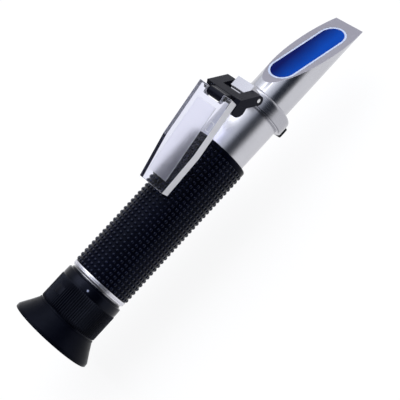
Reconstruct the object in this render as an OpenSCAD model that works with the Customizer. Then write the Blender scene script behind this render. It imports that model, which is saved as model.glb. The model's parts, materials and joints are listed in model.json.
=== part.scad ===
// Handheld refractometer with a flip-over daylight plate.
// Millimetres. X is the optical axis (eyecup at -X, prism tip at +X),
// Z points to the side the plate opens over, Y is the hinge axis.
// "Stations" are distances along X measured from the eyecup rim.

/* [Body] */
// overall length, eyecup rim to prism tip
overall_len = 195; // [194:0.5:198]
// outer radius of the aluminium tube
tube_r = 12.25; // [12.1:0.05:12.4]
// radius of the rubber sleeve under its bumps
grip_r = 14.3; // [14:0.1:14.6]
// radius of the plain band at the front end of the sleeve
grip_band_r = 14.6; // [14.4:0.1:14.9]
// outer radius of the metal ring between eyepiece and sleeve
trim_r = 14.6; // [14.2:0.1:15]

/* [Eyepiece] */
// radius of the flared rubber rim
cup_rim_r = 20.1; // [19:0.1:21]
// radius of the focusing ring over its ribs
ring_r = 15.15; // [15:0.05:15.5]
// number of grip ribs on the focusing ring
rib_count = 86; // [60:2:96]
// depth of the grip ribs
rib_depth = 0.4; // [0.3:0.05:0.5]

/* [Prism end] */
// radius of the prism barrel
barrel_r = 10.77; // [10.6:0.01:10.9]
// angle between the prism face and the optical axis
face_angle = 19.4; // [19:0.1:20]
// half width of the glass window
window_r = 6.1; // [5.8:0.1:6.3]
// width of the white sealing border
seal_w = 1.0; // [0.6:0.1:1.2]

/* [Daylight plate] */
// thickness of the clear plate
plate_t = 4.2; // [3.8:0.1:4.3]
// half width of the plate beside the hinge
plate_half_w = 10.77; // [10.4:0.01:10.8]
// half width of the plate at its free end
plate_tip_half_w = 8.1; // [7.8:0.1:8.4]
// tilt of the opened plate against the optical axis
plate_tilt = 12.6; // [12.2:0.1:13]

/* [Collar] */
// radius of the hinge collar
collar_r = 14.5; // [14.3:0.1:14.6]
// half width of the hinge lug
lug_half_w = 5.35; // [5.2:0.05:5.4]
// half width of the foot on the underside
foot_half_w = 5.2; // [5:0.1:5.4]

/* [Hidden] */
$fn = 96;
x_mid = overall_len / 2;
slip = 0.06; // radial clearance of the sliding and turning fits
over = 1; // how far cutting tools stand proud

// eyepiece stations
cup_end = 10.4;
cup_lip_r = 0.65;
spigot_r = 14;
spigot_start = 8.4;
rib_end = 24.9;
rib_w = 0.56;
ring_end = 29.6;
ring_neck_r = 13.7;
ring_bore_r = tube_r + slip;
cam_start = 16.8;
cam_end = 26.8;
cam_r = 13.5;
stop_ring_start = 12;
stop_ring_end = 14.1;
stop_ring_r = 13.1;

// tube stations
tube_start = 12;
trim_start = 30.1;
trim_end = 32.3;
grip_start = 32.4;
grip_end = overall_len - 84.4;
band_len = 2.4;
collar_start = overall_len - 61.4;
collar_end = overall_len - 53.7;
step_w = 0.7;
step_r = collar_r - 0.9;
tube_end = collar_end - 1.7;
bore_r = barrel_r;

// lens cell
cell_start = 17.2;
cell_len = 15.6;
cell_r = bore_r - slip;
eye_seat_r = 9.0;
clear_r = 8.2;
cell_lip_t = 1.2;
cell_ring_t = 2.2;
eye_lens_x = cell_start + cell_lip_t;
eye_lens_t = 3.6;
field_lens_t = 3;
field_lens_x = cell_start + cell_len - cell_ring_t - field_lens_t;
pin_station = (cam_start + cam_end) / 2;
pin_r = 1.1;
pin_slot_r = 1.25;
pin_foot_r = 9.1;
focus_travel = 2.6;

// reticle
reticle_station = 52;
reticle_t = 1.5;
reticle_r = 9.2;
reticle_mount_len = 5;

// stray-light stop
baffle_station = 88;
baffle_t = 2;
baffle_hole_r = 5.5;

// prism housing
sleeve_start = overall_len - 64;
sleeve_bore_r = 9.6;
tip_z = -6.56;
face_start = overall_len - (barrel_r - tip_z) / tan(face_angle);
sleeve_bore_end = face_start - 3;
window_start = 5.4;
window_len = 41.2;
seal_t = 1;
pocket_r = 9.3;
prism_lip = 2.5;
prism_depth = 24;
prism_back = 152;
light_bore_r = 7.4;
light_bore_end = prism_back + 2;

// hinge
pivot_x = overall_len - 59.9 - x_mid;
pivot_z = 17.7;
hinge_pin_r = 1;
arm_out = 11.2;
arm_in = lug_half_w + 0.2;
arm_angle = 139.2;
arm_top = 2.5;
arm_bottom = -2.1;
web_start = 6.9;
web_end = 11.2;
knuckle_r = 2.3;
plate_pivot_u = 14;
plate_pivot_w = 0.6;
hook_r = 2.15;
hook_half_w = 5;
hook_mouth_w = 1.7;
rod_r = 1.1;
ear_u = 10.95;
ear_w = -1.4;
ear_r = 4;
ear_in = 8.2;
swing_r = 3.65;

// daylight plate, measured from its own pivot
contact_n = 3.3;
pad_h = 0.25;
pad_half_w = 6;
pad_start = 5;
pad_end = 42.6;
taper_start = 26.7;
plate_len = 47.6;
plate_back = -1.4;
plate_turn = 180 - arm_angle + plate_tilt;
slot_half_w = hook_half_w + 0.35;
slot_len = hook_r + 0.5;
slot_corner_r = 1;

// collar lug and foot
lug_start = overall_len - 61;
lug_len = 5;
lug_top = 19.8;
lug_step = 0.9;
lug_step_z = 18.4;
foot_start = overall_len - 59.6;
foot_len = 5.4;
foot_z = -16.9;
cap_t = 2.1;
cap_plug_r = 2.55;
cap_plug_len = 1;

// calibration screw
screw_station = foot_start + foot_len / 2;
screw_r = 1;
screw_head_r = 2.3;
screw_head_z = -15.7;
screw_head_t = 1.1;
screw_tip_z = -6.9;
recess_r = 2.6;
nut_r = 1.9;
nut_z = -8.45;
strip_top_z = -6.8;
strip_t = 0.6;
strip_half_w = 3;
strip_start = 108;
strip_end = screw_station + 3;
clip_z = -9.3;
clip_t = 0.35;
block_start = 108;
block_len = 7;
objective_start = 133;
objective_len = 7;
objective_r = 6.4;
objective_clear_r = 4.7;
objective_seat_r = 5.2;
crown_x = objective_start + 1;
crown_t = 1.8;
flint_x = crown_x + crown_t;
flint_t = 2.4;

// ---- placing helpers ----

// children stand along +X from a station
module at_x(station) {
    translate([station - x_mid, 0, 0])
        rotate([0, 90, 0])
            children();
}

// plain ring along X between two stations
module ring_x(x0, x1, r_out, r_in) {
    at_x(x0)
        difference() {
            cylinder(h = x1 - x0, r = r_out);
            translate([0, 0, -over])
                cylinder(h = x1 - x0 + 2 * over, r = r_in);
        }
}

module rod_x(x0, x1, r) {
    at_x(x0)
        cylinder(h = x1 - x0, r = r);
}

// rod along Y, centred on the middle plane
module rod_y(length, r) {
    rotate([90, 0, 0])
        cylinder(h = length, r = r, center = true);
}

// vertical rod between two heights at a station
module rod_z(station, z0, z1, r) {
    translate([station - x_mid, 0, z0])
        cylinder(h = z1 - z0, r = r);
}

// block centred on the middle plane
module block(x0, x1, half_w, z0, z1) {
    translate([x0 - x_mid, -half_w, z0])
        cube([x1 - x0, 2 * half_w, z1 - z0]);
}

// side outline drawn in X-Z and given a width in Y
module slab_y(y0, y1) {
    translate([0, y1, 0])
        rotate([90, 0, 0])
            linear_extrude(height = y1 - y0)
                children();
}

// frame of the prism face: X down the slope, Z out of the glass
module on_face() {
    translate([face_start - x_mid, 0, barrel_r])
        rotate([0, face_angle, 0])
            children();
}

// rounded slot lying in the prism face
module face_slot(r, depth, lift = 0) {
    on_face()
        translate([window_start + window_r, 0, -depth])
            linear_extrude(height = depth + lift)
                union() {
                    circle(r = r);
                    translate([window_len - 2 * window_r, 0])
                        circle(r = r);
                    translate([0, -r])
                        square([window_len - 2 * window_r, 2 * r]);
                }
}

// frame of the bracket: X from the pin to the plate pivot, Z to the outside
module on_arm() {
    translate([pivot_x, 0, pivot_z])
        rotate([0, -arm_angle, 0])
            rotate([180, 0, 0])
                children();
}

// frame of the opened plate: X to its free end, Z out of its contact face
module on_plate() {
    on_arm()
        translate([plate_pivot_u, 0, plate_pivot_w])
            rotate([0, plate_turn, 0])
                children();
}

// lens with a flat rim and two curved faces of their own radius and height
module lens(x0, r, edge_t, face0_r, bulge0, face1_r, bulge1) {
    at_x(x0)
        union() {
            cylinder(h = edge_t, r = r);
            translate([0, 0, edge_t])
                dome(face1_r, bulge1);
            mirror([0, 0, 1])
                dome(face0_r, bulge0);
        }
}

// spherical cap of height h on a disc of radius r
module dome(r, h) {
    sphere_r = (r * r + h * h) / (2 * h);
    intersection() {
        translate([0, 0, h - sphere_r])
            sphere(r = sphere_r);
        cylinder(h = h + over, r = r);
    }
}

// ---- eyepiece ----

module eyecup() {
    lip_x = cup_lip_r;
    color([0.03, 0.03, 0.035])
        at_x(0)
            rotate_extrude()
                union() {
                    polygon([
                        [cup_rim_r, lip_x],
                        [cup_rim_r, lip_x + 0.5],
                        [ring_r - 0.1, cup_end - 0.7],
                        [ring_r + 0.15, cup_end - 0.4],
                        [ring_r + 0.15, cup_end],
                        [spigot_r, cup_end],
                        [spigot_r, spigot_start],
                        [10.6, spigot_start],
                        [10.6, spigot_start - 1],
                        [13.4, spigot_start - 2.2],
                        [cup_rim_r - 2 * cup_lip_r, lip_x + 0.8],
                        [cup_rim_r - 2 * cup_lip_r, lip_x]
                    ]);
                    translate([cup_rim_r - cup_lip_r, lip_x])
                        circle(r = cup_lip_r);
                }
}

module focus_ring() {
    root_r = ring_r - rib_depth;
    rib_len = rib_end - cup_end - 0.5;
    color([0.04, 0.04, 0.045])
        difference() {
            union() {
                at_x(0)
                    rotate_extrude()
                        polygon([
                            [spigot_r - 1.2, spigot_start],
                            [spigot_r, spigot_start],
                            [spigot_r, cup_end],
                            [root_r, cup_end],
                            [root_r, rib_end],
                            [ring_r - 0.2, rib_end + 0.1],
                            [ring_r - 0.35, ring_end - 1.2],
                            [ring_neck_r, ring_end - 0.8],
                            [ring_neck_r, ring_end],
                            [spigot_r - 1.2, ring_end]
                        ]);
                at_x(cup_end + 0.25)
                    for (i = [0 : rib_count - 1])
                        rotate([0, 0, i * 360 / rib_count])
                            translate([root_r - 0.3, -rib_w / 2, 0])
                                cube([rib_depth + 0.3, rib_w, rib_len]);
            }
            rod_x(stop_ring_end + 0.1, ring_end + over, ring_bore_r);
            rod_x(spigot_start - over, stop_ring_end + 0.1, stop_ring_r + 0.1);
            rod_x(cam_start, cam_end, cam_r);
        }
}

module stop_ring() {
    color([0.72, 0.6, 0.3])
        difference() {
            ring_x(stop_ring_start, stop_ring_end, stop_ring_r, tube_r);
            for (side = [-1, 1])
                translate([stop_ring_start - x_mid - over, -0.6, side * stop_ring_r - 0.5])
                    cube([over + 0.6, 1.2, 1]);
        }
}

module lens_cell() {
    cell_end = cell_start + cell_len;
    color([0.08, 0.08, 0.09])
        difference() {
            rod_x(cell_start, cell_end, cell_r);
            rod_x(cell_start - over, cell_end + over, clear_r);
            rod_x(eye_lens_x, cell_end + over, eye_seat_r);
            at_x(pin_station)
                rotate([0, 90, 0])
                    translate([0, 0, eye_seat_r - over])
                        cylinder(h = cell_r, r = pin_r);
        }
}

module eye_lens() {
    color([0.8, 0.9, 0.95, 0.4])
        lens(eye_lens_x, eye_seat_r, eye_lens_t, 8, 0.6, 7.6, 1.3);
}

module lens_spacer() {
    color([0.06, 0.06, 0.07])
        ring_x(eye_lens_x + eye_lens_t, field_lens_x, eye_seat_r, clear_r - 0.2);
}

module field_lens() {
    color([0.8, 0.9, 0.95, 0.4])
        lens(field_lens_x, eye_seat_r, field_lens_t, 7.6, 0.9, 7, 0.3);
}

module cell_ring() {
    x1 = cell_start + cell_len;
    color([0.1, 0.1, 0.11])
        difference() {
            ring_x(x1 - cell_ring_t, x1, eye_seat_r, 7.4);
            translate([x1 - x_mid - 0.7, -eye_seat_r - over, -0.5])
                cube([over + 0.7, 2 * eye_seat_r + 2 * over, 1]);
        }
}

module cam_pin() {
    color([0.75, 0.75, 0.72])
        at_x(pin_station)
            rotate([0, 90, 0])
                difference() {
                    translate([0, 0, pin_foot_r])
                        cylinder(h = cam_r - 0.4 - pin_foot_r, r = pin_r);
                    translate([-0.25, -pin_r - over, cam_r - 0.9])
                        cube([0.5, 2 * pin_r + 2 * over, over]);
                }
}

// ---- tube ----

module trim_ring() {
    ring_len = trim_end - trim_start;
    groove_r = 0.14;
    color([0.85, 0.85, 0.87])
        at_x(trim_start)
            rotate_extrude()
                difference() {
                    union() {
                        translate([tube_r, 0])
                            square([trim_r - tube_r - 0.9, ring_len]);
                        translate([tube_r, 0.9])
                            square([trim_r - tube_r, ring_len - 1.15]);
                        translate([trim_r - 0.9, 0.9])
                            circle(r = 0.9);
                        translate([trim_r - 0.9, ring_len - 0.25])
                            square([0.7, 0.25]);
                    }
                    translate([trim_r, ring_len - 0.55])
                        circle(r = groove_r);
                }
}

module rubber_grip() {
    edge = 0.5;
    color([0.05, 0.05, 0.055])
        at_x(0)
            rotate_extrude()
                union() {
                    polygon([
                        [tube_r, grip_start],
                        [grip_r, grip_start],
                        [grip_r, grip_end - band_len],
                        [grip_band_r, grip_end - band_len],
                        [grip_band_r, grip_end - edge],
                        [grip_band_r - edge, grip_end],
                        [tube_r, grip_end]
                    ]);
                    translate([grip_band_r - edge, grip_end - edge])
                        circle(r = edge);
                }
}

module main_tube() {
    color([0.78, 0.8, 0.84])
        difference() {
            ring_x(tube_start, tube_end, tube_r, bore_r);
            for (side = [-1, 1])
                at_x(pin_station + side * focus_travel)
                    rotate([0, 90, 0])
                        cylinder(h = tube_r + over, r = pin_slot_r);
            translate([pin_station - focus_travel - x_mid, -pin_slot_r, -tube_r - over])
                cube([2 * focus_travel, 2 * pin_slot_r, tube_r]);
            rod_z(screw_station, -tube_r - over, -bore_r / 2, screw_r + slip);
        }
}

module reticle() {
    color([0.85, 0.93, 0.95, 0.5])
        rod_x(reticle_station, reticle_station + reticle_t, reticle_r);
}

module reticle_mount() {
    x0 = reticle_station - 1;
    color([0.08, 0.08, 0.09])
        difference() {
            ring_x(x0, x0 + reticle_mount_len, bore_r, 8);
            rod_x(reticle_station, x0 + reticle_mount_len + over, reticle_r);
        }
}

module reticle_ring() {
    x0 = reticle_station + reticle_t;
    color([0.1, 0.1, 0.11])
        ring_x(x0, x0 + 1.6, reticle_r, 8);
}

module baffle() {
    color([0.06, 0.06, 0.07])
        ring_x(baffle_station, baffle_station + baffle_t, bore_r, baffle_hole_r);
}

// ---- temperature compensation and calibration ----

module strip_block() {
    strip_low = strip_top_z - strip_t;
    color([0.72, 0.6, 0.3])
        difference() {
            intersection() {
                block(block_start, block_start + block_len, strip_half_w + 0.6, -bore_r, strip_low);
                rod_x(block_start - over, block_start + block_len + over, bore_r);
            }
            for (dx = [2, 5])
                rod_z(block_start + dx, -9.6, strip_low + over, 0.7);
        }
}

module strip_screws() {
    color([0.7, 0.7, 0.72])
        for (dx = [2, 5])
            difference() {
                union() {
                    rod_z(block_start + dx, -9.4, strip_top_z, 0.7);
                    rod_z(block_start + dx, strip_top_z, strip_top_z + 0.9, 1.2);
                }
                translate([block_start + dx - x_mid - 1.5, -0.2, strip_top_z + 0.5])
                    cube([3, 0.4, 1]);
            }
}

module bimetal_strip() {
    color([0.62, 0.6, 0.55])
        difference() {
            block(strip_start, strip_end, strip_half_w, strip_top_z - strip_t, strip_top_z);
            for (dx = [2, 5])
                rod_z(block_start + dx, strip_top_z - over, strip_top_z + over, 0.7);
            rod_z(screw_station, strip_top_z - over, strip_top_z + over, nut_r + 0.1);
        }
}

module objective_cell() {
    x1 = objective_start + objective_len;
    color([0.08, 0.08, 0.09])
        difference() {
            union() {
                rod_x(objective_start, x1, objective_r);
                block(objective_start, x1, 2.6, strip_top_z, -5);
            }
            rod_x(objective_start - over, x1 + over, objective_clear_r);
            rod_x(objective_start + 1, x1 + over, objective_seat_r);
            rod_z(screw_station, strip_top_z - over, -6, screw_r + 0.3);
        }
}

module objective_crown() {
    color([0.8, 0.9, 0.95, 0.4])
        lens(crown_x, objective_seat_r, crown_t, objective_clear_r - 0.1, 0.6, objective_seat_r - 0.1, 0.5);
}

module objective_flint() {
    color([0.85, 0.88, 0.8, 0.4])
        difference() {
            rod_x(flint_x, flint_x + flint_t, objective_seat_r);
            at_x(flint_x)
                dome(objective_seat_r - 0.1, 0.5);
        }
}

module calibration_nut() {
    color([0.72, 0.6, 0.3])
        difference() {
            rod_z(screw_station, nut_z, strip_top_z, nut_r);
            rod_z(screw_station, nut_z - over, strip_top_z + over, screw_r + slip);
        }
}

module calibration_screw() {
    slot_t = 0.5;
    color([0.75, 0.75, 0.72])
        difference() {
            union() {
                rod_z(screw_station, screw_head_z, screw_head_z + screw_head_t, screw_head_r);
                rod_z(screw_station, screw_head_z, screw_tip_z, screw_r);
            }
            translate([screw_station - x_mid - 3, -slot_t / 2, screw_head_z - over])
                cube([6, slot_t, over + 0.55]);
        }
}

module screw_clip() {
    color([0.5, 0.5, 0.52])
        difference() {
            rod_z(screw_station, clip_z, clip_z + clip_t, nut_r);
            rod_z(screw_station, clip_z - over, clip_z + clip_t + over, screw_r);
        }
}

module calibration_cap() {
    color([0.04, 0.04, 0.045])
        union() {
            translate([foot_start - x_mid, -foot_half_w, foot_z - cap_t])
                rounded_block(foot_len, 2 * foot_half_w, cap_t, 0.8);
            rod_z(screw_station, foot_z - 0.5, foot_z + cap_plug_len, cap_plug_r);
        }
}

// block with rounded vertical edges
module rounded_block(length, width, height, r) {
    linear_extrude(height = height)
        union() {
            translate([r, 0])
                square([length - 2 * r, width]);
            translate([0, r])
                square([length, width - 2 * r]);
            for (cx = [r, length - r], cy = [r, width - r])
                translate([cx, cy])
                    circle(r = r);
        }
}

// ---- collar and hinge ----

module collar() {
    shoulder_r = 2.2;
    nose_x = collar_end - collar_start;
    color([0.82, 0.82, 0.85])
        difference() {
            union() {
                at_x(collar_start)
                    rotate_extrude()
                        union() {
                            translate([tube_r - 0.6, 0])
                                square([step_r - tube_r + 0.6, step_w + 0.2]);
                            translate([barrel_r, step_w])
                                square([collar_r - shoulder_r - barrel_r, nose_x - step_w]);
                            translate([collar_r - shoulder_r - 0.3, step_w])
                                square([shoulder_r + 0.3, nose_x - step_w - shoulder_r]);
                            translate([collar_r - shoulder_r, nose_x - shoulder_r])
                                circle(r = shoulder_r);
                        }
                block(lug_start, lug_start + lug_len, lug_half_w, 11, lug_top);
                block(lug_start - lug_step, lug_start + over, lug_half_w, lug_step_z - 1.4, lug_step_z);
                translate([foot_start - x_mid, -foot_half_w, foot_z])
                    rounded_block(foot_len, 2 * foot_half_w, -foot_z - 11, 0.8);
            }
            rod_x(collar_start - over, tube_end, tube_r);
            rod_x(tube_end - over, collar_end + over, barrel_r);
            translate([pivot_x, 0, pivot_z])
                rod_y(2 * lug_half_w + 2, hinge_pin_r);
            rod_z(screw_station, foot_z - over, screw_head_z + screw_head_t, recess_r);
            rod_z(screw_station, foot_z, -barrel_r, screw_r + slip);
        }
}

module hinge_pin() {
    color([0.8, 0.8, 0.82])
        translate([pivot_x, 0, pivot_z])
            rod_y(2 * arm_out - 0.3, hinge_pin_r);
}

// side outline of one arm, measured from the pin
module arm_outline() {
    union() {
        circle(r = knuckle_r);
        polygon([
            [-0.6, arm_top],
            [-knuckle_r + 0.4, 0.6],
            [-0.4, arm_bottom],
            [web_end, arm_bottom],
            [web_end, arm_top]
        ]);
    }
}

// side outline of the hook that holds the plate's rod
module hook_outline() {
    union() {
        translate([plate_pivot_u, plate_pivot_w])
            circle(r = hook_r);
        polygon([
            [web_start + 0.3, arm_bottom + 0.3],
            [web_start + 0.3, arm_top - 0.3],
            [plate_pivot_u, plate_pivot_w + hook_r - 0.4],
            [plate_pivot_u, plate_pivot_w - hook_r + 0.5]
        ]);
    }
}

module hinge_bracket() {
    color([0.05, 0.05, 0.055])
        on_arm()
            difference() {
                union() {
                    difference() {
                        arms_and_web();
                        plate_room();
                    }
                    slab_y(-hook_half_w, hook_half_w)
                        hook_outline();
                }
                rod_y(2 * arm_out + 2, hinge_pin_r + slip);
                translate([plate_pivot_u, 0, plate_pivot_w])
                    rod_y(2 * hook_half_w + 2, rod_r + slip);
                hook_mouth();
            }
}

module arms_and_web() {
    union() {
        for (side = [-1, 1])
            translate([0, side * (arm_in + arm_out) / 2, 0])
                slab_y(-(arm_out - arm_in) / 2, (arm_out - arm_in) / 2)
                    arm_outline();
        translate([0, (ear_in + arm_out) / 2, 0])
            slab_y(-(arm_out - ear_in) / 2, (arm_out - ear_in) / 2)
                ear_outline();
        slab_y(-arm_out, arm_out)
            translate([web_start, arm_bottom])
                square([web_end - web_start, arm_top - arm_bottom]);
    }
}

// half disc under the hinge end of the plate, on one side only
module ear_outline() {
    translate([ear_u, ear_w])
        circle(r = ear_r);
}

// space the hinge end of the plate turns in, on both sides of the hook
module plate_room() {
    room_in = hook_half_w - 0.1;
    room_w = arm_out + over - room_in;
    floor_n = contact_n - plate_t - 0.3;
    for (side = [-1, 1])
        translate([plate_pivot_u, side * (room_in + room_w / 2), plate_pivot_w])
            union() {
                rod_y(room_w, rod_r + 0.15);
                rotate([0, plate_turn, 0]) {
                    translate([0, -room_w / 2, floor_n])
                        cube([12, room_w, 9]);
                    intersection() {
                        rod_y(room_w, swing_r);
                        translate([-swing_r, -room_w / 2, floor_n])
                            cube([2 * swing_r, room_w, 2 * swing_r]);
                    }
                }
            }
}

// mouth the plate's rod snaps in through
module hook_mouth() {
    translate([plate_pivot_u, 0, plate_pivot_w])
        translate([-hook_mouth_w / 2, -hook_half_w - over, -hook_r - over])
            cube([hook_mouth_w, 2 * hook_half_w + 2 * over, hook_r + over]);
}

module daylight_plate() {
    color([0.9, 0.94, 0.96, 0.35])
        on_plate()
            union() {
                plate_body();
                rod_y(2 * slot_half_w + 1, rod_r);
                translate([pad_start, -pad_half_w, contact_n - pad_h - 0.3])
                    cube([pad_end - pad_start, 2 * pad_half_w, pad_h + 0.3]);
            }
}

module plate_body() {
    low = contact_n - plate_t;
    high = contact_n - pad_h;
    difference() {
        intersection() {
            translate([0, 0, low])
                linear_extrude(height = high - low)
                    polygon([
                        [-2, -plate_half_w],
                        [taper_start, -plate_half_w],
                        [plate_len, -plate_tip_half_w],
                        [plate_len, plate_tip_half_w],
                        [taper_start, plate_half_w],
                        [-2, plate_half_w]
                    ]);
            slab_y(-plate_half_w - over, plate_half_w + over)
                union() {
                    circle(r = 1.1);
                    polygon([
                        [0, low],
                        [plate_len + over, low],
                        [plate_len + over, high],
                        [plate_back, high],
                        [-1.05, 0.2]
                    ]);
                }
        }
        plate_slot(low - over, high + over);
    }
}

// opening in the plate for the bracket's hook
module plate_slot(z0, z1) {
    translate([0, 0, z0])
        linear_extrude(height = z1 - z0)
            union() {
                translate([-4, -slot_half_w])
                    square([4 + slot_len - slot_corner_r, 2 * slot_half_w]);
                translate([-4, -slot_half_w + slot_corner_r])
                    square([4 + slot_len, 2 * (slot_half_w - slot_corner_r)]);
                for (side = [-1, 1])
                    translate([slot_len - slot_corner_r, side * (slot_half_w - slot_corner_r)])
                        circle(r = slot_corner_r);
            }
}

// ---- prism end ----

module prism_housing() {
    color([0.8, 0.8, 0.83])
        difference() {
            rod_x(sleeve_start, overall_len, barrel_r);
            rod_x(sleeve_start - over, sleeve_bore_end, sleeve_bore_r);
            rod_x(sleeve_start - over, light_bore_end, light_bore_r);
            on_face()
                translate([-10, -20, 0])
                    cube([80, 40, 30]);
            prism_form(over);
            face_slot(window_r + seal_w, seal_t, over);
            rod_z(screw_station, -barrel_r - over, -sleeve_bore_r / 2, screw_r + slip);
        }
}

module prism_seal() {
    color([0.85, 0.9, 0.97])
        difference() {
            face_slot(window_r + seal_w, seal_t, 0);
            face_slot(window_r, seal_t + over, over);
        }
}

module prism() {
    color([0.02, 0.2, 0.62])
        prism_form(0);
}

// glass block under the window, its back face square to the axis
module prism_form(lift) {
    union() {
        face_slot(window_r, prism_lip, lift);
        intersection() {
            face_slot(window_r, prism_depth, 0);
            union() {
                rod_x(prism_back, overall_len - 3, pocket_r);
                block(prism_back, overall_len - 3, window_r, 0, barrel_r);
            }
        }
    }
}

eyecup();
focus_ring();
stop_ring();
lens_cell();
eye_lens();
lens_spacer();
field_lens();
cell_ring();
cam_pin();
trim_ring();
rubber_grip();
main_tube();
reticle();
reticle_mount();
reticle_ring();
baffle();
strip_block();
strip_screws();
bimetal_strip();
objective_cell();
objective_crown();
objective_flint();
calibration_nut();
calibration_screw();
screw_clip();
calibration_cap();
collar();
hinge_pin();
hinge_bracket();
daylight_plate();
prism_housing();
prism_seal();
prism();
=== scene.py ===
import json
import math

import bmesh
import bpy
from mathutils import Matrix, Vector


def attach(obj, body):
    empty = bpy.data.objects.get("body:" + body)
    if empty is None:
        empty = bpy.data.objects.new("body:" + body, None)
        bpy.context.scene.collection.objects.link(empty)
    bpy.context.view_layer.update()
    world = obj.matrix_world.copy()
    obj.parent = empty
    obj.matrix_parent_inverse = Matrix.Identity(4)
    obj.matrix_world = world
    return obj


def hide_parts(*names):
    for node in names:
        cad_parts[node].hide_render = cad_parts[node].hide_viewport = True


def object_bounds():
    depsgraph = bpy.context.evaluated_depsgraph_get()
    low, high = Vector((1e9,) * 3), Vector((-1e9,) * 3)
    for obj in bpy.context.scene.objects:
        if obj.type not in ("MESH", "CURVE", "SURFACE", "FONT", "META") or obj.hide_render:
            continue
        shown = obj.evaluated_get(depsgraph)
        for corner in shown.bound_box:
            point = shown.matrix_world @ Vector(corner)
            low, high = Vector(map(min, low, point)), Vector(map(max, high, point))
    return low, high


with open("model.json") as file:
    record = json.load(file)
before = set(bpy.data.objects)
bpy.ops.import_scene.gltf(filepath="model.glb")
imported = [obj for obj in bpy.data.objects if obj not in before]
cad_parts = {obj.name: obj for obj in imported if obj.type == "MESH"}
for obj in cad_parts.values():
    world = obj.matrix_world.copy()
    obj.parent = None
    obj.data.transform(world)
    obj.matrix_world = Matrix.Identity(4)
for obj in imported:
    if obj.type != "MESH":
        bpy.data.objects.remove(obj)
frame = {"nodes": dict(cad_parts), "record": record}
cad_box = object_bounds()
nodes = frame["nodes"]
record = frame["record"]
MM = 0.001
RIM_X = cad_box[0].x                   # the eyecup rim; stations are measured from here


def on_tube(station, radius, angle):
    """A point given in mm from the eyecup rim and from the axis; the angle runs from +Z toward +Y."""
    return RIM_X + station * MM, radius * MM * math.sin(angle), radius * MM * math.cos(angle)


# ------------------------------------------------------------------ shading

LOOK = {}


def feed(tree, socket, value):
    """Links a socket to another one, or sets its own value."""
    if isinstance(value, bpy.types.NodeSocket):
        tree.links.new(value, socket)
    else:
        socket.default_value = value


class Shade:
    """A Principled material with a few procedural helpers, in object coordinates (metres).
    It is kept in LOOK under its name."""

    def __init__(self, name, **sockets):
        self.mat = bpy.data.materials.new(name)
        self.mat.use_nodes = True
        self.tree = self.mat.node_tree
        self.bsdf = self.tree.nodes["Principled BSDF"]
        for key, value in sockets.items():
            self.bsdf.inputs[key.replace("_", " ")].default_value = value
        self.coord = self.tree.nodes.new("ShaderNodeTexCoord").outputs["Object"]
        self.normal = None
        LOOK[name] = self

    def node(self, kind, **sockets):
        n = self.tree.nodes.new(kind)
        for key, value in sockets.items():
            feed(self.tree, n.inputs[key.replace("_", " ")], value)
        return n

    def stretched(self, stretch):
        n = self.node("ShaderNodeVectorMath", Vector=self.coord)
        n.operation = "MULTIPLY"
        n.inputs[1].default_value = stretch
        return n.outputs[0]

    def noise(self, scale, detail, rough=0.55, stretch=None):
        v = self.stretched(stretch) if stretch else self.coord
        n = self.node("ShaderNodeTexNoise", Vector=v, Scale=scale, Detail=detail, Roughness=rough)
        return n.outputs["Fac"]

    def remap(self, value, lo, hi, from_lo=0.3, from_hi=0.7):
        n = self.node("ShaderNodeMapRange", Value=value, From_Min=from_lo, From_Max=from_hi,
                      To_Min=lo, To_Max=hi)
        return n.outputs[0]

    def math(self, op, a, b):
        n = self.tree.nodes.new("ShaderNodeMath")
        n.operation = op
        feed(self.tree, n.inputs[0], a)
        feed(self.tree, n.inputs[1], b)
        return n.outputs[0]

    def mix(self, fac, a, b):
        """The colour between a and b."""
        n = self.tree.nodes.new("ShaderNodeMix")
        n.data_type = "RGBA"
        for key, kind, value in (("Factor", "VALUE", fac), ("A", "RGBA", (*a, 1)), ("B", "RGBA", (*b, 1))):
            feed(self.tree, [i for i in n.inputs if i.name == key and i.type == kind][0], value)
        return [o for o in n.outputs if o.type == "RGBA"][0]

    def set(self, socket, value):
        self.tree.links.new(value, self.bsdf.inputs[socket])

    def bump(self, height, distance, strength):
        """Adds a bump on top of those already there."""
        n = self.node("ShaderNodeBump", Height=height, Distance=distance, Strength=strength)
        if self.normal:
            self.tree.links.new(self.normal, n.inputs["Normal"])
        self.normal = n.outputs["Normal"]
        self.set("Normal", self.normal)


def black_rubber(name, tone, gloss, grain, shine=0.4, depth=0.00004):
    """Black rubber or plastic. gloss is its roughness, grain and depth are its fine bumps."""
    s = Shade(name, Metallic=0.0, IOR=1.42, Specular_IOR_Level=shine, Specular_Tint=(0.62, 0.70, 1.0, 1))
    s.set("Base Color", s.mix(s.remap(s.noise(90, 4), 0, 1), tone, tuple(c * 1.7 + 0.0005 for c in tone)))
    s.set("Roughness", s.remap(s.noise(260, 5), gloss - 0.06, gloss + 0.08))
    s.bump(s.noise(grain, 4, 0.7), depth, 0.5)


def metal(name, tone, rough, stretch, depth=0.000008, spots=0.0):
    """Metal with lines drawn out by stretch, and with fine pits where spots is above 0."""
    s = Shade(name, Metallic=1.0)
    lines = s.noise(1.0, 4, 0.7, stretch=stretch)
    cloud_part = s.math("MULTIPLY", s.remap(s.noise(60, 4), 0, 1), 0.5)
    lines_part = s.math("MULTIPLY", s.remap(lines, 0, 1), 0.5)
    s.set("Base Color", s.mix(s.math("ADD", cloud_part, lines_part), tone, tuple(c * 0.90 for c in tone)))
    wear = s.math("ADD", s.math("MULTIPLY", lines, 0.6), s.math("MULTIPLY", s.noise(140, 5), 0.4))
    s.set("Roughness", s.remap(wear, rough - 0.04, rough + 0.06, 0.35, 0.65))
    s.bump(lines, depth, 0.6)
    if spots:
        s.bump(s.noise(4200, 2), depth, spots)


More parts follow.
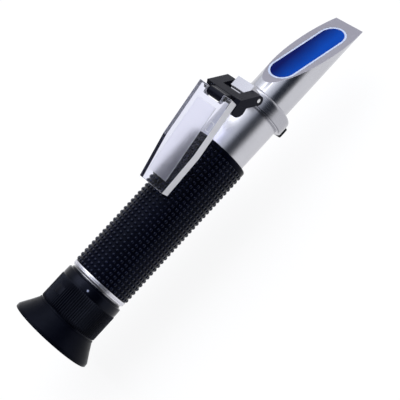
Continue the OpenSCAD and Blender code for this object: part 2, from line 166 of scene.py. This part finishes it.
black_rubber("cup_rubber", (0.0010, 0.0013, 0.0034), 0.32, 3800, 0.07)
black_rubber("grip_rubber", (0.0010, 0.0014, 0.0048), 0.24, 3000, 0.07)
# painted sheen: the knobs' tone is lighter and bluer than the sleeve's, though both are one rubber
black_rubber("knob_rubber", (0.0015, 0.0023, 0.0086), 0.16, 3000, 0.26, 0.00002)
black_rubber("black_plastic", (0.0010, 0.0013, 0.0034), 0.20, 5200, 0.17, 0.00003)
black_rubber("hinge_plastic", (0.0038, 0.0040, 0.0076), 0.24, 4200, 0.12)
black_rubber("inner_black", (0.006, 0.006, 0.007), 0.55, 2500)
metal("tube_metal", (0.58, 0.58, 0.62), 0.30, (7000, 90, 90), 0.000004)
metal("bright_metal", (0.74, 0.74, 0.79), 0.16, (9000, 200, 200))
metal("ring_metal", (0.74, 0.74, 0.80), 0.36, (9000, 200, 200))
metal("brushed_metal", (0.56, 0.56, 0.60), 0.22, (7000, 90, 90))
metal("collar_metal", (0.44, 0.44, 0.48), 0.25, (5200, 160, 160), 0.000014, 0.3)
metal("face_metal", (0.30, 0.29, 0.33), 0.42, (900, 2600, 2600), 0.00002, 0.5)
metal("steel", (0.66, 0.66, 0.68), 0.30, (300, 5000, 5000))
metal("brass", (0.72, 0.56, 0.28), 0.30, (6000, 200, 200))
metal("bimetal", (0.60, 0.57, 0.50), 0.35, (200, 4000, 4000))

s = Shade("seal", Metallic=0.0, Roughness=0.35)
s.set("Base Color", s.mix(s.remap(s.noise(300, 4), 0, 1), (0.52, 0.60, 0.80), (0.66, 0.73, 0.92)))
s.bump(s.noise(900, 4), 0.00004, 0.5)

s = Shade("optical_glass", Transmission_Weight=1.0, IOR=1.52, Base_Color=(0.95, 0.98, 1, 1))
s.set("Roughness", s.remap(s.noise(200, 5), 0.0, 0.05))

# the prism's blue is lighter toward -Y and toward the tip
s = Shade("prism_glass", Metallic=0.0, IOR=1.52, Specular_IOR_Level=0.03, Coat_Weight=0.02,
          Coat_Roughness=0.03)
xyz = s.node("ShaderNodeSeparateXYZ", Vector=s.coord)
across = s.remap(xyz.outputs["Y"], 1.15, -0.05, -0.0052, 0.0056)
along = s.remap(xyz.outputs["X"], 0.30, -0.25, 0.052, 0.092)
cloud = s.remap(s.noise(70, 3), -0.08, 0.08)
lightness = s.math("SUBTRACT", s.math("ADD", across, cloud), along)
s.set("Base Color", s.mix(lightness, (0.0, 0.0055, 0.105), (0.0, 0.060, 0.42)))
s.set("Roughness", s.remap(s.noise(240, 4), 0.10, 0.20))

s = Shade("clear_plastic", Transmission_Weight=1.0, IOR=1.46, Specular_IOR_Level=0.10,
          Base_Color=(0.84, 0.85, 0.96, 1))
s.set("Roughness", s.remap(s.noise(150, 5), 0.0, 0.012))
s.bump(s.noise(40, 2), 0.000004, 0.05)

s = Shade("frosted", Transmission_Weight=0.86, IOR=1.46, Specular_IOR_Level=0.12,
          Base_Color=(0.79, 0.79, 0.96, 1))
s.set("Roughness", s.remap(s.noise(300, 5), 0.34, 0.46))
s.bump(s.noise(5200, 3), 0.000005, 0.3)

# painted highlight: the plate's eased rims, the pad's and slot's edges and the moulded frame drawn whitish
# and little clear
s = Shade("clear_rim_highlight", Transmission_Weight=0.20, IOR=1.46, Base_Color=(0.88, 0.88, 0.95, 1))
s.set("Roughness", s.remap(s.noise(900, 4), 0.12, 0.30))

# painted highlight: the side walls drawn near-white and barely clear
s = Shade("side_highlight", Transmission_Weight=0.12, IOR=1.46, Specular_IOR_Level=0.2,
          Base_Color=(0.95, 0.95, 1.0, 1))
s.set("Roughness", s.remap(s.noise(500, 4), 0.10, 0.24))

# painted shade: the far side wall toward the free end drawn dark
s = Shade("side_shade", Transmission_Weight=0.30, IOR=1.46, Specular_IOR_Level=0.2,
          Base_Color=(0.10, 0.10, 0.16, 1))
s.set("Roughness", s.remap(s.noise(500, 4), 0.10, 0.24))

# painted highlight: pale bluish paint for the dot set where a small glint shows on the focus ring
s = Shade("glint_paint", Metallic=0.0)
s.set("Base Color", s.mix(s.remap(s.noise(900, 3), 0, 1), (0.34, 0.38, 0.56), (0.42, 0.47, 0.66)))
s.set("Roughness", s.remap(s.noise(700, 3), 0.35, 0.5))

s = Shade("floor", Metallic=0.0, Roughness=0.9, Specular_IOR_Level=0.1,
          Emission_Color=(1, 1, 1, 1), Emission_Strength=0.88)
s.set("Base Color", s.mix(s.remap(s.noise(3, 2), 0, 1), (0.14, 0.14, 0.15), (0.16, 0.16, 0.16)))

SLOT_OF = {p["node"]: p["material_slot"] for p in record["subparts"]}
for name, node in nodes.items():
    node.data.materials.clear()
    node.data.materials.append(LOOK[SLOT_OF[name]].mat)

# ------------------------------------------------------------------ mesh helpers

MERGE = 2e-6                           # metres; vertices nearer than this are one
FLAT = math.radians(0.6)               # faces this near to one plane are joined before edges are rounded
EASED = math.radians(28)               # outside edges sharper than this are rounded
ARC_STEPS = 5                          # pieces in a rounded corner of a turned outline


def finish_mesh(name, bm, looks, body, replaces=None, angle=35):
    bmesh.ops.recalc_face_normals(bm, faces=bm.faces)
    mesh = bpy.data.meshes.new(name)
    bm.to_mesh(mesh)
    bm.free()
    for p in mesh.polygons:
        p.use_smooth = True
    mesh.set_sharp_from_angle(angle=math.radians(angle))
    obj = bpy.data.objects.new(name, mesh)
    bpy.context.scene.collection.objects.link(obj)
    for look in looks if isinstance(looks, list) else [looks]:
        mesh.materials.append(look.mat)
    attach(obj, body)
    if replaces:
        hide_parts(replaces)
    return obj


def eased(node, piece, width, body, looks=None, pick=None):
    """A copy of a CAD node's shape with its sharp edges rounded over width mm.
    pick(centre, normal) chooses the place of a face's look in looks."""
    bm = bmesh.new()
    bm.from_mesh(nodes[node].data)
    bmesh.ops.remove_doubles(bm, verts=bm.verts, dist=MERGE)
    bmesh.ops.dissolve_limit(bm, angle_limit=FLAT, verts=bm.verts, edges=bm.edges)
    sharp = [e for e in bm.edges if len(e.link_faces) == 2 and e.calc_face_angle_signed(0) > EASED]
    bmesh.ops.bevel(bm, geom=sharp, offset=width * MM, offset_type="OFFSET", segments=2, profile=0.5,
                    affect="EDGES", clamp_overlap=True, miter_outer="ARC", miter_inner="SHARP")
    bmesh.ops.remove_doubles(bm, verts=bm.verts, dist=MERGE)
    if pick:
        for f in bm.faces:
            f.material_index = pick(f.calc_center_median(), f.normal)
    slot = SLOT_OF[node]
    obj = finish_mesh(piece, bm, looks or LOOK[slot], body, replaces=node, angle=40)
    obj.modifiers.new("weighted", "WEIGHTED_NORMAL").keep_sharp = True
    return obj


def round_corners(points):
    """points: (x, r, fillet) in mm. Each corner with a fillet becomes an arc of that radius."""
    out = []
    for i, (x, r, fillet) in enumerate(points):
        if not fillet:
            out.append((x, r))
            continue
        corner = Vector((x, r))
        before = Vector(points[i - 1][:2]) - corner
        after = Vector(points[(i + 1) % len(points)][:2]) - corner
        longest = 0.49 * min(before.length, after.length)
        before.normalize()
        after.normalize()
        half = math.acos(max(-1, min(1, before.dot(after)))) / 2
        cut = min(fillet / math.tan(half), longest)
        centre = corner + (before + after).normalized() * (cut * math.tan(half) / math.sin(half))
        start = corner + before * cut - centre
        turn = start.angle_signed(corner + after * cut - centre)
        for k in range(ARC_STEPS + 1):
            out.append(tuple(centre + Matrix.Rotation(-turn * k / ARC_STEPS, 2) @ start))
    return out


def bridge(bm, ring_a, ring_b):
    """Faces between two closed rings of vertices."""
    for k in range(len(ring_a)):
        after = (k + 1) % len(ring_a)
        bm.faces.new((ring_a[k], ring_a[after], ring_b[after], ring_b[k]))


def lathe(name, points, look, body, replaces, segs, radius=None, angle=35):
    """Turns a closed outline of (station, radius, fillet) in mm round the optical axis.
    radius(x, r, angle) may change r."""
    outline = round_corners(points)
    bm = bmesh.new()
    rings = []
    for k in range(segs):
        a = 2 * math.pi * k / segs
        rings.append([bm.verts.new(on_tube(x, radius(x, r, a) if radius else r, a)) for x, r in outline])
    for ring_a, ring_b in zip(rings, rings[1:] + rings[:1]):
        bridge(bm, ring_a, ring_b)
    return finish_mesh(name, bm, look, body, replaces, angle)


def rounded_square(angle, power):
    """The point at an angle on a rounded square of half width 1; a higher power is squarer."""
    c, s = math.cos(angle), math.sin(angle)
    reach = (abs(c) ** power + abs(s) ** power) ** (-1 / power)
    return reach * c, reach * s


# ------------------------------------------------------------------ eyepiece

lathe("eyecup_body", [
    (0.0, 19.55, 0.5), (0.0, 20.1, 0.55), (1.7, 20.0, 0.5), (6.0, 17.4, 2.5), (9.6, 15.35, 0.8),
    (9.75, 15.3, 0.2), (10.4, 15.3, 0.25), (10.4, 14.0, 0), (8.4, 14.0, 0), (8.4, 10.6, 0.3),
    (7.4, 10.6, 0.4), (6.2, 13.4, 1.5), (1.4, 18.6, 1.0)],
    LOOK["cup_rubber"], "focus", replaces="eyecup", segs=224)

RIBS = 86
RIB_FROM, RIB_TO = 10.9, 24.6
RIB_ROOT, RIB_HEIGHT = 14.78, 0.37
RIB_FADE = 0.35                        # the ribs rise over this length at each end
RING_OUTSIDE = 14.6                    # only what is farther out than this carries ribs
PATCH_FROM, PATCH_TO = 16.8, 20.3      # a smooth window in the ribs: stations, then angles toward -Y
PATCH_LOW, PATCH_HIGH = math.radians(-15.0), math.radians(2.0)
PATCH_R = 15.12
PATCH_STEP = 0.12                      # from the ribs to the window


def ribbed(x, r, a):
    """Fine rounded ribs with a smooth rectangular window; a is the angle from +Z toward +Y."""
    if r <= RING_OUTSIDE or not RIB_FROM < x < RIB_TO:
        return r
    side = (math.pi - a) % (2 * math.pi) - math.pi
    if PATCH_FROM <= x <= PATCH_TO and PATCH_LOW < side < PATCH_HIGH:
        return PATCH_R
    wave = 0.5 - 0.5 * math.cos(a * RIBS)
    fade = min(1, (x - RIB_FROM) / RIB_FADE, (RIB_TO - x) / RIB_FADE)
    return RIB_ROOT + RIB_HEIGHT * (wave ** 0.7) * fade


rise = [RIB_FROM + d for d in (0.0001, 0.1, 0.22, RIB_FADE)]
fall = [RIB_TO - d for d in (RIB_FADE, 0.22, 0.1, 0.001)]
window = [PATCH_FROM - PATCH_STEP, PATCH_FROM, 18.5, PATCH_TO, PATCH_TO + PATCH_STEP]
ring_points = [(10.4, RIB_ROOT, 0)]
ring_points += [(x, 14.8, 0) for x in (*rise, 12.5, 14.0, 15.5, *window, 21.6, 23.0, *fall)]
ring_points += [
    (24.9, RIB_ROOT, 0), (25.0, 15.0, 0.12), (28.6, 14.85, 0.5), (28.9, 13.7, 0), (29.6, 13.7, 0.2),
    (29.6, 12.4, 0), (14.2, 12.4, 0), (14.2, 13.2, 0), (8.5, 13.2, 0), (8.5, 13.95, 0), (10.4, 13.95, 0)]
lathe("focus_ring_body", ring_points, LOOK["black_plastic"], "focus",
      replaces="focus_ring", segs=RIBS * 10, radius=ribbed, angle=40)

DOT_STATION, DOT_ANGLE = 26.3, math.radians(33.8)      # the angle runs from +Z toward -Y
DOT_ON_R = 14.95                       # the ring's radius under the dot
DOT_R = 0.50
DOT_SIDES = 24


def glint_dot():
    """A pale dot that lies on the focus ring: a painted highlight, drawn where a small glint shows."""
    bm = bmesh.new()
    rings = []
    for share, lift in ((1.0, -0.05), (1.0, 0.03), (0.75, 0.05), (0.35, 0.055)):
        ring = []
        for k in range(DOT_SIDES):
            t = 2 * math.pi * k / DOT_SIDES
            station = DOT_STATION + DOT_R * share * math.cos(t)
            angle = DOT_ANGLE + DOT_R * share * math.sin(t) / DOT_ON_R
            ring.append(bm.verts.new(on_tube(station, DOT_ON_R + lift, -angle)))
        rings.append(ring)
    for ring_a, ring_b in zip(rings, rings[1:]):
        bridge(bm, ring_a, ring_b)
    bm.faces.new(rings[-1])
    bm.faces.new(rings[0][::-1])
    finish_mesh("glint_dot", bm, LOOK["glint_paint"], "focus")


glint_dot()

# ------------------------------------------------------------------ trim ring, sleeve and tube

lathe("trim_ring_body", [
    (30.1, 12.3, 0), (30.1, 14.0, 0.4), (30.6, 14.4, 0.2), (31.05, 14.55, 0.12), (31.1, 14.1, 0.05),
    (31.42, 14.1, 0.05), (31.47, 14.6, 0.15), (32.3, 14.5, 0.15), (32.3, 12.3, 0)],
    LOOK["ring_metal"], "base", replaces="trim_ring", segs=224)

GRIP_FROM, GRIP_TO = 32.4, 108.2       # the stretch with knobs
GRIP_R = 14.3
KNOB_ROWS, KNOBS_ROUND = 33, 38
KNOB_SIDES = 12
KNOB_SINK = 0.06                       # how deep a knob's foot sits in the sleeve
KNOB_LEVELS = ((0.0, 0.82), (0.26, 0.78), (0.47, 0.62), (0.60, 0.38), (0.65, 0.14))    # height, half width

lathe("grip_sleeve", [
    (GRIP_FROM, 12.3, 0), (GRIP_FROM, 14.35, 0.25), (108.1, GRIP_R, 0), (108.25, 14.6, 0.15),
    (110.6, 14.6, 0.9), (110.6, 12.3, 0)],
    LOOK["grip_rubber"], "base", replaces="rubber_grip", segs=190)


def knob_ring(bm, station, angle, height, half):
    """The vertices of one level of a knob."""
    ring = []
    for k in range(KNOB_SIDES):
        along, round_it = rounded_square((2 * k + 1) * math.pi / KNOB_SIDES, 3)
        point = on_tube(station + half * along, GRIP_R - KNOB_SINK + height, angle + half * round_it / GRIP_R)
        ring.append(bm.verts.new(point))
    return ring


def grip_knobs():
    """Low domed knobs in rows all round the sleeve."""
    bm = bmesh.new()
    pitch = (GRIP_TO - GRIP_FROM) / KNOB_ROWS
    for i in range(KNOB_ROWS):
        station = GRIP_FROM + (i + 0.5) * pitch
        for j in range(KNOBS_ROUND):
            angle = 2 * math.pi * (j + 0.5) / KNOBS_ROUND
            rings = [knob_ring(bm, station, angle, height, half) for height, half in KNOB_LEVELS]
            for ring_a, ring_b in zip(rings, rings[1:]):
                bridge(bm, ring_a, ring_b)
            bm.faces.new(rings[-1])
    finish_mesh("grip_knobs", bm, LOOK["knob_rubber"], "base", angle=60)


grip_knobs()

lathe("tube_shell", [(12.0, 10.8, 0), (12.0, 12.25, 0.15), (139.5, 12.25, 0.15), (139.5, 10.8, 0)],
      LOOK["tube_metal"], "base", replaces="main_tube", segs=256)

# ------------------------------------------------------------------ collar, hinge, plate and prism end

eased("collar", "collar_body", 0.22, "base", LOOK["collar_metal"])
eased("hinge_pin", "hinge_pin_body", 0.2, "base")
bracket = eased("hinge_bracket", "bracket_body", 0.28, "bracket", LOOK["hinge_plastic"])
bracket.visible_glossy = False         # keeps a dark smear off the bright tube beside it
eased("calibration_cap", "calibration_cap_body", 0.3, "cap")
eased("prism_seal", "prism_seal_body", 0.12, "base")

PRISM_OUT = Vector([m for m in record["mounts"] if m["name"] == "prism_face"][0]["axis"])
eased("prism_housing", "prism_housing_body", 0.1, "base", [LOOK["brushed_metal"], LOOK["face_metal"]],
      pick=lambda centre, normal: 1 if normal.dot(PRISM_OUT) > 0.999 else 0)

PLATE_TILT = math.radians(12.6)        # how far the opened plate slopes down to its free end
PLATE_U = Vector((-math.cos(PLATE_TILT), 0, -math.sin(PLATE_TILT)))    # along the plate, to its free end
PLATE_N = Vector((-math.sin(PLATE_TILT), 0, math.cos(PLATE_TILT)))     # out of its contact face
PLATE_O = Vector([j for j in record["behaviour"]["joints"] if j["name"] == "plate_hinge"][0]["pos_m"])

# in mm: u along the plate, y across it, h out of its contact face
PAD_FROM, PAD_TO, PAD_Y = 4.8, 43, 6.1     # the raised pad lies within these
PAD_H = 3.06                           # and stands out above this
WALL_Y = 7.5                           # the side walls lie beyond this
DARK_U = 26.7                          # the far side wall is drawn dark from here to the free end, a painted shade
# the eased edges that these two bound are drawn whitish, a painted highlight
RIM_H = 2.7                            # the eased edges lie above this at the walls,
RIM_U = 46.5                           # and beyond this at the free end
SLOT_U, SLOT_Y = 2.65, 5.35            # the slot for the bracket's hook
SLOT_OUT, SLOT_IN = 0.35, 1.2          # its rim, drawn whitish as a painted highlight, runs from this far outside to this far inside
# RIM and SIDE faces are drawn whitish and little clear, a painted highlight; DARK faces are a painted shade
CLEAR, FROSTED, RIM, SIDE, DARK = range(5)
PLATE_LOOKS = [LOOK[name] for name in ("clear_plastic", "frosted", "clear_rim_highlight", "side_highlight", "side_shade")]


def plate_face(centre, normal):
    """Tells the frosted pad, the rims and side walls drawn whitish as a painted highlight, and the far wall's
    painted shade from the clear faces.
    """
    place = (centre - PLATE_O) / MM
    u, y, h = place.dot(PLATE_U), abs(place.y), place.dot(PLATE_N)
    out = normal.dot(PLATE_N)
    if h > PAD_H and y < PAD_Y and PAD_FROM < u < PAD_TO:
        return FROSTED if out > 0.98 else RIM
    if y > WALL_Y and abs(normal.y) > 0.9:
        return DARK if place.y > 0 and u > DARK_U else SIDE
    if 0.15 < out < 0.95 and h > RIM_H and (y > WALL_Y or u > RIM_U):
        return RIM
    at_slot = -1 < u < SLOT_U + SLOT_OUT and y < SLOT_Y + SLOT_OUT and abs(out) < 0.9
    return RIM if at_slot and (y > SLOT_Y - SLOT_IN or u > SLOT_U - SLOT_IN) else CLEAR


eased("daylight_plate", "daylight_plate_body", 0.22, "plate", PLATE_LOOKS, pick=plate_face)

MARK_U, MARK_Y = 13.0, -9.0            # its middle
MARK_HALF_U, MARK_HALF_Y = 2.1, 1.05
MARK_SIDES = 24
PLATE_TOP = 3.05                       # how high the face lies that it stands on


def plate_mark():
    """A small moulded rectangle near the plate's edge: a low rounded frame."""
    bm = bmesh.new()
    rings = []
    for grow, lift in ((0.30, -0.05), (0.30, 0.06), (0.22, 0.12), (0.0, 0.12), (-0.08, 0.06), (-0.08, -0.05)):
        ring = []
        for k in range(MARK_SIDES):
            along, across = rounded_square((2 * k + 1) * math.pi / MARK_SIDES, 8)
            u = MARK_U + (MARK_HALF_U + grow) * along
            y = MARK_Y + (MARK_HALF_Y + grow) * across
            at = PLATE_O + (PLATE_U * u + PLATE_N * (PLATE_TOP + lift)) * MM
            ring.append(bm.verts.new((at.x, y * MM, at.z)))
        rings.append(ring)
    for ring_a, ring_b in zip(rings, rings[1:] + rings[:1]):
        bridge(bm, ring_a, ring_b)
    # the frame is drawn in the rims' whitish look, a painted highlight
    finish_mesh("plate_mark", bm, LOOK["clear_rim_highlight"], "plate")


plate_mark()

# ------------------------------------------------------------------ stage, light and camera

FLOOR_Z = -0.036                       # low enough to keep the pulled calibration cap in sight
FLOOR_HALF = 1.6
FADE_FROM, FADE_TO = -0.08, -0.22      # the room's light fades between these X of its direction
FADED = 0.10                           # and this share of it is left

floor_mesh = bpy.data.meshes.new("floor")
floor_bm = bmesh.new()
bmesh.ops.create_grid(floor_bm, x_segments=8, y_segments=8, size=FLOOR_HALF)
floor_bm.to_mesh(floor_mesh)
floor_bm.free()
floor_mesh.materials.append(LOOK["floor"].mat)
floor = bpy.data.objects.new("floor", floor_mesh)
bpy.context.scene.collection.objects.link(floor)
floor.location = (0, 0, FLOOR_Z)

bpy.context.scene.view_settings.view_transform = "Standard"


def studio_world(levels, backdrop):
    """A room lit from overhead, whose light fades toward the eyepiece's end.
    levels: an angle round X, from -180 (under) through -90 (+Y) and 0 (zenith), a brightness and a
    blueness."""
    world = bpy.data.worlds.new("studio")
    bpy.context.scene.world = world
    world.use_nodes = True
    tree = world.node_tree
    tree.nodes.clear()

    def add(kind, *values):
        n = tree.nodes.new(kind)
        for i, value in enumerate(values):
            feed(tree, n.inputs[i], value)
        return n

    xyz = add("ShaderNodeSeparateXYZ", add("ShaderNodeTexCoord").outputs["Generated"])
    back = add("ShaderNodeMath", xyz.outputs["Y"], -1.0)
    back.operation = "MULTIPLY"
    angle = add("ShaderNodeMath", back.outputs[0], xyz.outputs["Z"])
    angle.operation = "ARCTAN2"
    part = add("ShaderNodeMapRange", angle.outputs[0], -math.pi, math.pi, 0.0, 1.0)
    ramp = add("ShaderNodeValToRGB", part.outputs[0])
    ramp.color_ramp.interpolation = "EASE"
    stops = ramp.color_ramp.elements
    stops.remove(stops[1])
    stops[0].position = 0
    top = max(level for _, level, _ in levels)
    for i, (deg, level, blue) in enumerate(levels):
        stop = stops[0] if i == 0 else stops.new((deg + 180) / 360)
        v = level / top
        stop.color = (v * (1 - blue), v * (1 - 0.7 * blue), v, 1)
    fade = add("ShaderNodeMapRange", xyz.outputs["X"], FADE_TO, FADE_FROM, FADED, 1.0)
    strength = add("ShaderNodeMath", fade.outputs[0], top)
    strength.operation = "MULTIPLY"
    room = add("ShaderNodeBackground", ramp.outputs["Color"], strength.outputs[0])
    plain = add("ShaderNodeBackground", (1, 1, 1, 1), backdrop)
    seen = add("ShaderNodeLightPath")
    both = add("ShaderNodeMixShader", seen.outputs["Is Camera Ray"], room.outputs[0], plain.outputs[0])
    add("ShaderNodeOutputWorld", both.outputs[0])


studio_world([
    (-180, 0.6, 0.0), (-92, 0.8, 0.0), (-88, 0.85, 0.05), (-60, 0.90, 0.10), (-46, 1.0, 0.10),
    (-38, 1.9, 0.08), (-30, 3.0, 0.06), (-6, 3.2, 0.06), (2, 1.6, 0.08), (20, 1.05, 0.12), (34, 0.75, 0.16),
    (43, 0.16, 0.35), (50, 0.035, 0.5), (74, 0.035, 0.5), (80, 0.15, 0.2), (87, 0.45, 0.0), (92, 0.5, 0.0),
    (180, 0.5, 0.0)], 1.0)

cam = bpy.data.cameras.new("camera")
cam.sensor_width = 36
cam.lens = 85.8
cam.clip_start = 0.01
cam.clip_end = 20
cam_obj = bpy.data.objects.new("camera", cam)
bpy.context.scene.collection.objects.link(cam_obj)
right = Vector((0.67415, -0.61469, -0.40949))
up = Vector((0.73431, 0.49817, 0.46110))
back = Vector((-0.07944, -0.61154, 0.78721))
axes = Matrix((right, up, back)).transposed().to_4x4()
axes.translation = Vector((-0.04286, -0.26597, 0.32947))
cam_obj.matrix_world = axes
bpy.context.scene.camera = cam_obj
